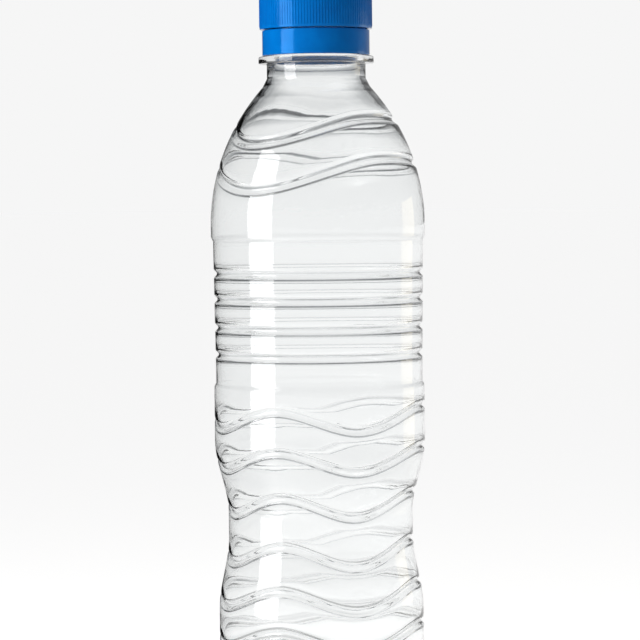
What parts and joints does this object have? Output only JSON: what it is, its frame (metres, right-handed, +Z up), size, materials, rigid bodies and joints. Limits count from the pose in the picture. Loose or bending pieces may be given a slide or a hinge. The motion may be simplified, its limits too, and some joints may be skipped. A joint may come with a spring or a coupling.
{
  "type": "plastic bottle",
  "caption": "Empty clear blow-moulded drinking-water bottle with wave grooves round its shoulder and waist, a ribbed label panel and a blue screw cap over its tamper band.",
  "frame": {"origin": "centre of the base, on the plane of the standing ring", "axes": "+Z up along the bottle's axis, -Y towards the pictured front, +X to the right of it"},
  "size_m": [0.063, 0.063, 0.2201],
  "materials": {
    "clear_pet": "clear gloss blow-moulded PET",
    "blue_polyethylene": "satin moulded polyethylene"
  },
  "bodies": {
    "bottle": {"bottle": "clear_pet"},
    "tamper_band": {"tamper_band": "blue_polyethylene"},
    "cap": {"cap": "blue_polyethylene"}
  },
  "joints": [
    {"name": "cap_turn", "type": "hinge", "parent": "bottle", "child": "tamper_band", "pos_m": [0, 0, 0.1999], "axis": [0, 0, 1], "range_deg": [0, 450]},
    {"name": "cap_lift", "type": "slide", "parent": "tamper_band", "child": "cap", "axis": [0, 0, 1], "range_m": [0, 0.01126]}
  ],
  "couplings": [
    {"joint": "cap_lift", "follows": "cap_turn", "m_per_rad": 0.0014324}
  ]
}
